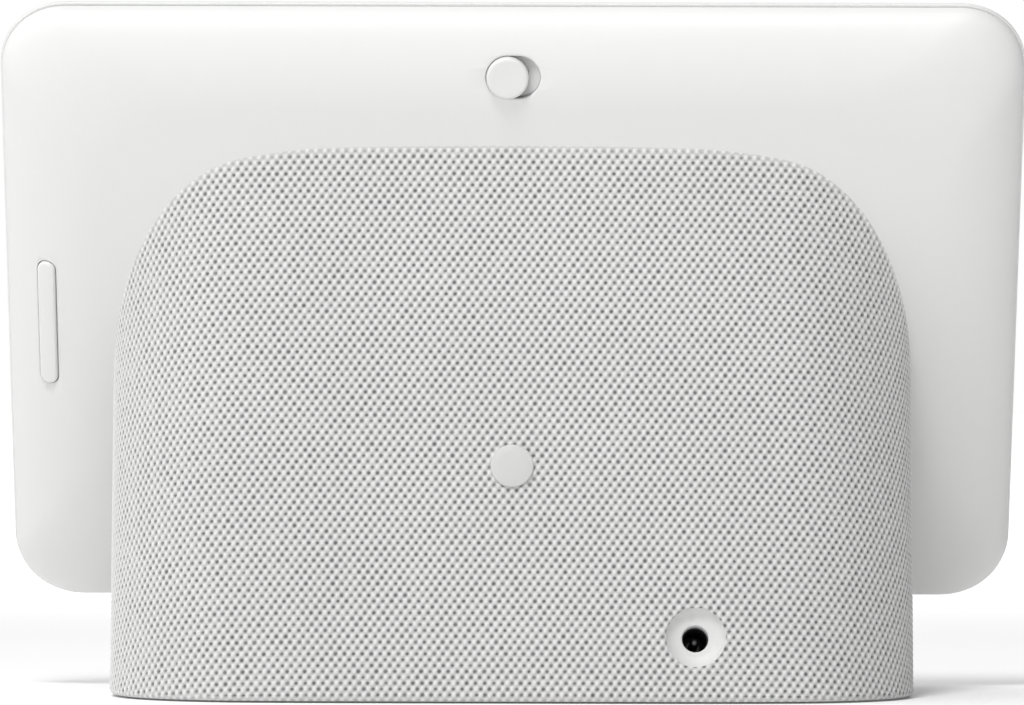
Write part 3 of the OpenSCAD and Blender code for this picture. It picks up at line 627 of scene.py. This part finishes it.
def make_glass():
    edge, back_edge = 0.45, 0.12  # roundings of the glass, front and back
    rings = []
    for inset, depth in (
        [(back_edge, GLASS_T), (0.0, GLASS_T - back_edge)]
        + [
            (edge * (1 - math.cos(a)), edge * (1 - math.sin(a)))
            for a in np.linspace(0, math.pi / 2, 7)
        ]
    ):
        flat = rounded_ring(GLASS_W - 2 * inset, GLASS_H - 2 * inset, GLASS_R - inset)
        rings.append(np.c_[flat[:, 0], np.full(len(flat), depth), flat[:, 1] + MID_U])
    for inset, r in ((0, MASK_R), (SCREEN_EDGE, 1.0)):
        flat = rounded_ring(MASK_W - 2 * inset, MASK_H - 2 * inset, r)
        rings.append(np.c_[flat[:, 0], np.zeros(len(flat)), flat[:, 1] + MID_U])
    points, faces = loft(rings)
    n = len(rings[0])
    band = 8  # strips round the glass's edge
    looks = [3] * (n * band) + [0] * n + [1] * n + [0, 2]
    glass = add_piece(
        "front_glass",
        place(points, ON_DISPLAY),
        faces,
        "stand",
        [border, mask_black, screen_dark, glass_rim],
        looks,
    )
    fix_normals(glass)

    def on_border(x):
        return ON_DISPLAY @ Matrix.Translation((x, 0, MIC_U)) @ turn(-90, "X")

    hole_r, window_r, window_t = 0.5, 1.3, 0.035
    profile = [(0, -1), (hole_r, -1), (hole_r, 2), (0, 2)]
    tube, sides = lathe(profile, segments=32, closed=False)
    cut(glass, [(place(tube, on_border(x)), sides) for x in (-MIC_X, MIC_X)])
    sharpen(glass, 35)
    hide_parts("cover_glass")
    profile = [(0, 0), (window_r, 0), (window_r, -0.02), (1.22, -window_t), (0, -window_t)]
    window, sides = lathe(profile, segments=48, closed=False)
    sensor = add_piece(
        "sensor_window",
        place(window, on_border(0)),
        sides,
        "stand",
        [mask_black],
    )
    fix_normals(sensor)


# ---- controls ----


def make_knob():
    """The knob's face is dished by less than a tenth of a millimetre."""
    top, edge, dish = 1.05, 0.55, 0.07
    profile = [(0, KNOB_FOOT), (KNOB_R, KNOB_FOOT)]
    profile += arc(KNOB_R - edge, top - edge, edge, 0, 90, 8)
    profile += [(KNOB_R - edge - 0.6, top - 0.015), (1.2, top - 0.06), (0, top - dish)]
    points, faces = lathe(profile, closed=False)
    middle = AT_MUTE @ Matrix.Translation((KNOB_TRAVEL / 2, 0, 0))
    knob = add_piece(
        "mute_knob", place(points, middle), faces, "mute_slider", [knob_plastic]
    )
    fix_normals(knob)
    sharpen(knob)
    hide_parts("mute_slider")


def make_rocker():
    """The rocker's face is slightly crowned."""
    top, edge, bottom = 0.48, 0.5, -3.0
    swell = 0.06  # the finished part fills its slot a little more than its CAD solid
    rings = []
    heights = [(0, bottom), (0, top - edge)]
    heights += [
        (edge * (1 - math.cos(a)), top - edge + edge * math.sin(a))
        for a in np.linspace(0.2, math.pi / 2, 7)
    ]
    heights += [(1.0, top + 0.04), (1.5, top + 0.06)]
    for inset, z in heights:
        ring = stadium_ring(ROCKER_L + 2 * swell - 2 * inset, ROCKER_R + swell - inset)
        rings.append(np.c_[-ring[:, 1], ring[:, 0], np.full(len(ring), z)])
    points, faces = loft(rings)
    rocker = add_piece(
        "volume_button",
        place(points, AT_VOLUME),
        faces,
        "volume_rocker",
        [chalk],
    )
    fix_normals(rocker)
    sharpen(rocker)
    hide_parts("volume_rocker")


# ---- base ----


def base_outline(steps=48):
    """Points round the base, square to its leaning walls, with the outward normals."""
    front_a = math.asin((HALF_W - FRONT_R) / (FRONT_BOW - FRONT_R))
    front_c = FRONT_Y + FRONT_BOW
    front_cy = front_c - (FRONT_BOW - FRONT_R) * math.cos(front_a)
    front_x = HALF_W - FRONT_R
    quarter, half = math.pi / 2, math.pi
    arcs = (
        (CORNER_X, CORNER_CY, REAR_R, 0, quarter - SHOULDER_A),
        (SHOULDER_X, SHOULDER_CY, SHOULDER_R, quarter - SHOULDER_A, quarter - BOW_A),
        (0, BOW_CY, REAR_BOW, quarter - BOW_A, quarter + BOW_A),
        (-SHOULDER_X, SHOULDER_CY, SHOULDER_R, quarter + BOW_A, quarter + SHOULDER_A),
        (-CORNER_X, CORNER_CY, REAR_R, quarter + SHOULDER_A, half),
        (-front_x, front_cy, FRONT_R, half, half + quarter - front_a),
        (0, front_c, FRONT_BOW, half + quarter - front_a, half + quarter + front_a),
        (front_x, front_cy, FRONT_R, half + quarter + front_a, 2 * half),
    )
    points, normals = [], []
    for cx, cy, r, start, end in arcs:
        for a in np.linspace(start, end, steps):
            normals.append((math.cos(a), math.sin(a)))
            points.append((cx + r * normals[-1][0], cy + r * normals[-1][1]))
    return np.array(points), np.array(normals)


def outline_by_length():
    """The outline as a function of the distance round it: (length, point and normal at s)."""
    points, normals = base_outline(400)
    loop = np.r_[points, points[:1]]
    turned = np.r_[normals, normals[:1]]
    steps = np.linalg.norm(np.diff(loop, axis=0), axis=1)
    along = np.r_[0, np.cumsum(steps)]

    def at(s, inset=0.0):
        s = np.mod(s, along[-1])
        normal = np.stack([np.interp(s, along, turned[:, i]) for i in (0, 1)], -1)
        normal /= np.linalg.norm(normal, axis=-1, keepdims=True)
        point = np.stack([np.interp(s, along, loop[:, i]) for i in (0, 1)], -1)
        return point - np.asarray(inset)[..., None] * normal, normal

    return along[-1], at


def display_clearance(y, z):
    """How far a point lies behind the display, in millimetres; negative is inside it."""
    dy, dz = y - glass_lo.y, z - GLASS_Z
    u = dy * SIN_T + dz * COS_T
    d = dy * COS_T - dz * SIN_T
    ratio = np.clip((RIM_INSET + FLANK_W - u) / FLANK_W, 0, 1)
    surface = RIM_D + FLANK_D * np.sqrt(1 - ratio**2)
    return np.where(u < RIM_INSET, 9.0, d - surface)


def wall_top(point, gap):
    """Height along the leaning wall at which it meets the display, less a gap."""
    low = -point[:, 1] * TAN_L
    heights = low[:, None] + np.arange(0, WALL_REACH, 0.5)[None, :]
    y = point[:, 1:] * COS_L - heights * SIN_L
    z = FOOT_H + point[:, 1:] * SIN_L + heights * COS_L
    inside = display_clearance(y, z) < gap
    first = np.argmax(inside, axis=1)
    lo, hi = heights[np.arange(len(first)), first - 1], heights[np.arange(len(first)), first]
    for _ in range(24):
        mid = (lo + hi) / 2
        y = point[:, 1] * COS_L - mid * SIN_L
        z = FOOT_H + point[:, 1] * SIN_L + mid * COS_L
        hit = display_clearance(y, z) < gap
        lo, hi = np.where(hit, lo, mid), np.where(hit, mid, hi)
    return lo


def smooth(t):
    t = np.clip(t, 0, 1)
    return t * t * (3 - 2 * t)


def knit_relief(across, up):
    """How far the cloth stands out at a place counted in stitches and rows."""
    shifted = across + 0.5 * np.mod(np.floor(up), 2)
    wave = np.cos(2 * np.pi * (shifted - np.floor(shifted) - 0.5))
    wave *= np.cos(np.pi * (up - np.floor(up) - 0.5))
    strand = np.cos(2 * np.pi * (across - 0.5 * (up - 0.5)))
    return np.where(wave > 0, -HOLE_DEPTH, -CROWN) * wave + STRAND * strand


def make_cloth():
    """The knitted sleeve: its mesh follows the stitches, and its edges turn in."""
    length, at = outline_by_length()
    stitches = round(length / STITCH_W)
    columns = stitches * COLUMNS_PER_STITCH
    step = length / columns
    row_step = ROW_H / ROWS_PER_STITCH
    first_row = math.floor(-REAR_Y * TAN_L / ROW_H) * ROWS_PER_STITCH
    last_row = first_row + math.ceil(WALL_REACH / row_step)
    grid_z = np.arange(first_row, last_row + 1)[:, None] * row_step + np.zeros((1, columns))
    s = np.arange(columns)[None, :] * step - KNIT_SKEW * grid_z
    dense = np.linspace(0, length, 3000)
    rim = wall_top(at(dense)[0], TOP_GAP)
    point, normal = at(s.ravel())
    top = np.interp(np.mod(s, length), dense, rim)
    bottom = -point[:, 1].reshape(s.shape) * TAN_L + FOOT_ROLL
    height = np.clip(grid_z, bottom, top)
    below = (top - height).ravel()
    closing = smooth(below / TOP_FADE)
    up = height.ravel() / ROW_H
    across = (s.ravel() + KNIT_SKEW * height.ravel()) / step / COLUMNS_PER_STITCH
    lift = knit_relief(across, up) * closing
    points = [np.c_[point + normal * (lift - CROWN)[:, None], height.ravel()]]
    uv = [np.c_[across, up]]
    edges = [np.c_[below, closing]]

    grid = np.arange(s.size).reshape(s.shape)
    used = (grid_z[1:] > bottom[1:]) & (grid_z[:-1] < top[:-1])
    used |= np.roll(used, -1, axis=1)
    ahead = np.roll(grid, -1, axis=1)
    quads = [np.stack([grid[:-1], ahead[:-1], ahead[1:], grid[1:]], -1)[used]]

    # the top edge tucks in under the shell, and the bottom edge rolls in under the base
    flat_s = np.arange(columns) * step
    nexts = np.roll(np.arange(columns), -1)
    count = s.size
    last = grid[-1]
    skewed = flat_s - KNIT_SKEW * np.interp(flat_s, dense, rim)
    for inset in TUCK_IN:
        inner = at(skewed, np.full(columns, inset + CROWN))[0]
        z = wall_top(inner, TOP_GAP)
        ring = count + np.arange(columns)
        count += columns
        points.append(np.c_[inner, z])
        uv.append(np.c_[(skewed + KNIT_SKEW * z) / step / COLUMNS_PER_STITCH, z / ROW_H])
        edges.append(np.zeros((columns, 2)))
        quads.append(np.stack([last, last[nexts], ring[nexts], ring], -1))
        last = ring
    last = grid[0]
    foot_line = -at(flat_s)[0][:, 1] * TAN_L
    skewed = flat_s - KNIT_SKEW * foot_line
    rolled = FOOT_ROLL * math.pi / 2
    for inset, gap, down in [
        (FOOT_ROLL * (1 - math.cos(a)), FOOT_ROLL * (1 - math.sin(a)), FOOT_ROLL * a)
        for a in np.radians((18, 36, 54, 72, 90))
    ] + [(TURN_IN, 0.0, rolled + TURN_IN - FOOT_ROLL)]:
        inner = at(skewed, np.full(columns, inset + CROWN))[0]
        z = -inner[:, 1] * TAN_L + gap - PROUD
        unrolled = foot_line + FOOT_ROLL - down
        ring = count + np.arange(columns)
        count += columns
        points.append(np.c_[inner, z])
        uv.append(
            np.c_[(skewed + KNIT_SKEW * unrolled) / step / COLUMNS_PER_STITCH, unrolled / ROW_H]
        )
        edges.append(np.full((columns, 2), TURNED_CLOSING))
        quads.append(np.stack([ring, ring[nexts], last[nexts], last], -1))
        last = ring
    points, uv, edges, quads = (np.concatenate(part) for part in (points, uv, edges, quads))

    # the hole round the funnel: its edge dips in
    hole_r, sink = TRIM_R - 0.15, 0.35
    side = points[:, 0] - JACK_X
    rise = points[:, 2] - JACK_Z
    away = np.hypot(side, rise)
    near = (away < hole_r) & (points[:, 1] > 0)
    quads = quads[~near[quads].all(axis=1)]
    touched = np.zeros(len(points), bool)
    touched[np.unique(quads)] = True
    move = near & touched
    scale = hole_r / np.maximum(away[move], 1e-6)
    points[move, 0] = JACK_X + side[move] * scale
    points[move, 2] = JACK_Z + rise[move] * scale
    points[move, 1] = JACK_Y - sink

    # the UV map's counts run on across the seam, and doubled points are merged
    cloth = add_piece("knit_sleeve", place(points, ON_BASE), quads, "stand", [knit])
    layer = cloth.data.uv_layers.new(name="knit")
    corners = np.empty(len(cloth.data.loops), int)
    cloth.data.loops.foreach_get("vertex_index", corners)
    coords = uv[corners].reshape(-1, 4, 2)
    wrap = np.ptp(coords[..., 0], axis=1) > stitches / 2
    low = coords[..., 0] < coords[..., 0].mean(axis=1, keepdims=True)
    coords[..., 0] += np.where(wrap[:, None] & low, stitches, 0)
    layer.data.foreach_set("uv", coords.ravel())
    edge_layer = cloth.data.uv_layers.new(name="edges")
    edge_layer.data.foreach_set("uv", edges[corners].ravel())
    bm = bmesh.new()
    bm.from_mesh(cloth.data)
    bmesh.ops.remove_doubles(bm, verts=bm.verts, dist=0.004 * MM)
    bmesh.ops.delete(bm, geom=[v for v in bm.verts if not v.link_faces], context="VERTS")
    bm.to_mesh(cloth.data)
    bm.free()
    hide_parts("cloth_sleeve")


def make_badge():
    r, thick, edge = 3.7, 0.55, 0.3
    profile = [(0, -0.2), (r, -0.2)] + arc(r - edge, thick - edge, edge, 0, 80, 6)
    profile += [(r * 0.6, thick + 0.05), (r * 0.3, thick + 0.09), (0, thick + 0.1)]
    points, faces = lathe(profile, closed=False)
    badge = add_piece(
        "back_button", place(points, AT_BADGE), faces, "stand", [badge_white]
    )
    fix_normals(badge)
    sharpen(badge)
    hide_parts("rear_badge")


def make_inlet():
    lip, mouth, bowl = 0.07, 0.35, 0.45
    outer_r, mouth_d = TRIM_R - 0.02, 2.45
    profile = [(FLANGE_R, TRIM_L), (FLANGE_R, FLANGE_D), (outer_r, FLANGE_D)]
    profile += arc(outer_r - lip, FUNNEL_RIM + lip, lip, 0, -140, 6)
    throat = arc(THROAT_R + mouth, mouth_d, mouth, -105, -180, 7)
    rim, edge = np.array(profile[-1]), np.array(throat[0])
    outward = np.array((edge[1] - rim[1], rim[0] - edge[0])) / np.linalg.norm(edge - rim)
    for t in np.linspace(0, 1, 14)[1:-1]:
        profile.append(tuple(rim + t * (edge - rim) + 4 * bowl * t * (1 - t) * outward))
    profile += throat + [(THROAT_R, TRIM_L)]
    points, faces = lathe(profile, segments=128)
    trim = add_piece(
        "inlet_funnel", place(points, AT_INLET), faces, "stand", [trim_white]
    )
    fix_normals(trim)
    sharpen(trim, 50)
    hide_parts("inlet_trim")
    tip, root, start, step, end = 0.8, 1.2, TRIM_L + 1.3, TRIM_L + 8.3, TRIM_L + 11
    profile = [(0, start)] + arc(0, start + tip, tip, -85, 0, 6)
    profile += [(tip, step), (root, step), (root, end), (0, end)]
    points, faces = lathe(profile, segments=48, closed=False)
    pin = add_piece(
        "inlet_contact", place(points, AT_INLET), faces, "stand", [pin_metal]
    )
    fix_normals(pin)
    sharpen(pin)
    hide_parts("inlet_pin")


def make_foot():
    """The pad under the base, with rounded edges and a shallow groove for grip."""
    edge, groove = 0.3, 0.25
    points, normals = base_outline(24)
    points = points - FOOT_INSET * normals

    def level(grow, z):
        flat = points + normals * grow
        return np.c_[flat[:, 0], flat[:, 1] / COS_L - (z - FOOT_H) * TAN_L, np.full(len(flat), z)]

    rings = [level(0, foot_hi.z), level(0, edge)]
    rings += [
        level(-edge * (1 - math.cos(a)), edge * (1 - math.sin(a)))
        for a in np.linspace(0.3, math.pi / 2, 6)
    ]
    for grow, z in ((-3.0, 0.0), (-3.2, groove), (-3.6, groove), (-3.8, 0.0)):
        rings.append(level(grow, z))
    mesh_points, faces = loft(rings)
    foot = add_piece(
        "foot_pad",
        place(mesh_points, Matrix.Identity(4)),
        faces,
        "stand",
        [foot_grey],
    )
    fix_normals(foot)
    sharpen(foot)
    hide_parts("rubber_foot")


# ---- materials of the CAD nodes that stay ----

# slot: roughness, metallic, grain per metre, grain depth in mm, tone, stretch of the grain
FINISHES = {
    "white_tape": (0.8, 0, 1500, 0.03, 0.04, (1, 1, 1)),
    "adhesive": (0.8, 0, 1500, 0.03, 0.1, (1, 1, 1)),
    "lcd": (0.15, 0, 400, 0.002, 0.05, (1, 1, 1)),
    "light_guide": (0.2, 0, 600, 0.004, 0.03, (1, 1, 1)),
    "tray_metal": (0.35, 1, 900, 0.01, 0.05, (1, 12, 1)),
    "frame_plastic": (0.55, 0, 1800, 0.02, 0.06, (1, 1, 1)),
    "chalk_plastic": (0.5, 0, 2500, 0.02, 0.015, (1, 1, 1)),
    "carrier_plastic": (0.5, 0, 2200, 0.02, 0.04, (1, 1, 1)),
    "housing_plastic": (0.6, 0, 1800, 0.03, 0.08, (1, 1, 1)),
    "black_plastic": (0.55, 0, 1500, 0.008, 0.1, (1, 1, 1)),
    "basket_metal": (0.5, 0, 1200, 0.02, 0.08, (1, 1, 1)),
    "cone_paper": (0.75, 0, 2600, 0.04, 0.12, (1, 1, 1)),
    "surround_rubber": (0.6, 0, 1500, 0.01, 0.08, (1, 1, 1)),
    "spider_cloth": (0.85, 0, 3200, 0.08, 0.12, (1, 1, 1)),
    "copper": (0.3, 1, 2500, 0.02, 0.1, (1, 1, 30)),
    "ferrite": (0.65, 0, 2000, 0.03, 0.12, (1, 1, 1)),
    "zinc_steel": (0.35, 1, 1400, 0.01, 0.06, (1, 1, 8)),
    "heat_sink_metal": (0.4, 1, 1200, 0.015, 0.05, (1, 12, 1)),
    "circuit_board": (0.4, 0, 700, 0.03, 0.2, (1, 1, 1)),
    "chip_black": (0.5, 0, 2400, 0.01, 0.15, (1, 1, 1)),
    "ivory_plastic": (0.45, 0, 1500, 0.01, 0.05, (1, 1, 1)),
    "thermal_rubber": (0.8, 0, 1800, 0.02, 0.05, (1, 1, 1)),
    "ribbon_film": (0.3, 0, 700, 0.01, 0.1, (8, 1, 1)),
    "antenna_foil": (0.3, 1, 900, 0.01, 0.06, (1, 1, 1)),
    "wire_rubber": (0.5, 0, 1500, 0.01, 0.1, (1, 1, 1)),
    "plated_metal": (0.32, 1, 1500, 0.004, 0.04, (1, 1, 1)),
}

colours = {m["slot"]: m["base_color"][:3] for m in frame["record"]["materials"]}
slots = {s["node"]: s["material_slot"] for s in frame["record"]["subparts"]}


def make_finishes():
    made = {}
    for slot_name, (rough, metallic, grain, depth, tone, stretch) in FINISHES.items():
        material = new_material(slot_name + "_look", colours[slot_name], rough, metallic=metallic)
        made[slot_name] = add_surface(material, grain, depth, tone, stretch=stretch)
    for name, piece in frame["nodes"].items():
        if slots[name] in made:
            piece.data.materials.clear()
            piece.data.materials.append(made[slots[name]])


# ---- stage ----


def make_stage():
    """A matt white floor that glows more with distance, so that it fades into the white."""
    floor_material = new_material("floor", (0.91, 0.91, 0.91), 0.9, emission_color=(1, 1, 1, 1))
    add_surface(floor_material, grain=400, depth=0.01, tone=0.004)
    node, link, _, shader = tools(floor_material)
    where = node("ShaderNodeTexCoord").outputs["Object"]
    away = node("ShaderNodeVectorMath", {"operation": "LENGTH"})
    link(where, away.inputs[0])
    glow = node(
        "ShaderNodeMapRange",
        {"interpolation_type": "SMOOTHSTEP"},
        Value=away.outputs["Value"],
        From_Min=0.25,
        From_Max=0.8,
        To_Min=0.06,
        To_Max=0.5,
    )
    link(glow.outputs[0], shader.inputs["Emission Strength"])
    half = 6.0  # metres
    mesh = bpy.data.meshes.new("floor")
    mesh.from_pydata(
        [(-half, -half, 0), (half, -half, 0), (half, half, 0), (-half, half, 0)], [], [(0, 1, 2, 3)]
    )
    mesh.materials.append(floor_material)
    floor = bpy.data.objects.new("floor", mesh)
    bpy.context.scene.collection.objects.link(floor)


def make_world():
    """A white studio. Its light is strongest from above and from the object's left, and the
    camera sees it as plain white."""
    world = bpy.data.worlds.new("studio")
    bpy.context.scene.world = world
    world.use_nodes = True
    tree = world.node_tree
    tree.nodes["Background"].inputs["Color"].default_value = (1, 1, 1, 1)
    where = tree.nodes.new("ShaderNodeTexCoord").outputs["Generated"]
    dot = tree.nodes.new("ShaderNodeVectorMath")
    dot.operation = "DOT_PRODUCT"
    dot.inputs[1].default_value = SKY_SLOPE
    tree.links.new(where, dot.inputs[0])
    lit = tree.nodes.new("ShaderNodeMath")
    lit.operation = "ADD"
    lit.inputs[1].default_value = SKY_LEVEL
    tree.links.new(dot.outputs["Value"], lit.inputs[0])
    rays = tree.nodes.new("ShaderNodeLightPath")
    seen = tree.nodes.new("ShaderNodeMath")
    seen.operation = "MAXIMUM"
    tree.links.new(lit.outputs[0], seen.inputs[0])
    tree.links.new(rays.outputs["Is Camera Ray"], seen.inputs[1])
    tree.links.new(seen.outputs[0], tree.nodes["Background"].inputs["Strength"])


def area_light(name, location, target, size, power):
    data = bpy.data.lights.new(name, "AREA")
    data.shape = "DISK"
    data.size = size
    data.energy = power
    light = bpy.data.objects.new(name, data)
    light.location = location
    light.rotation_mode = "QUATERNION"
    aim = Vector(target) - Vector(location)
    light.rotation_quaternion = aim.to_track_quat("-Z", "Y")
    bpy.context.scene.collection.objects.link(light)


def make_camera():
    """Square to the back, a little above half the object's height, through a long lens."""
    data = bpy.data.cameras.new("camera")
    data.sensor_width = 36
    data.lens = LENS
    data.clip_start = 0.05
    data.clip_end = 50
    camera = bpy.data.objects.new("camera", data)
    camera.location = CAMERA_AT
    camera.rotation_euler = [math.radians(angle) for angle in CAMERA_TURN]
    bpy.context.scene.collection.objects.link(camera)
    bpy.context.scene.camera = camera


make_camera()
make_world()
area_light("key", location=(0.28, 0.98, 1.36), target=(0, 0, 0.06), size=0.45, power=14.5)
area_light("top", location=(0.1, 0.3, 1.6), target=(0, 0, 0), size=1.2, power=2.5)
make_stage()
bpy.context.scene.view_settings.view_transform = "Standard"

make_finishes()
make_shell()
make_glass()
make_knob()
make_rocker()
make_cloth()
make_badge()
make_inlet()
make_foot()
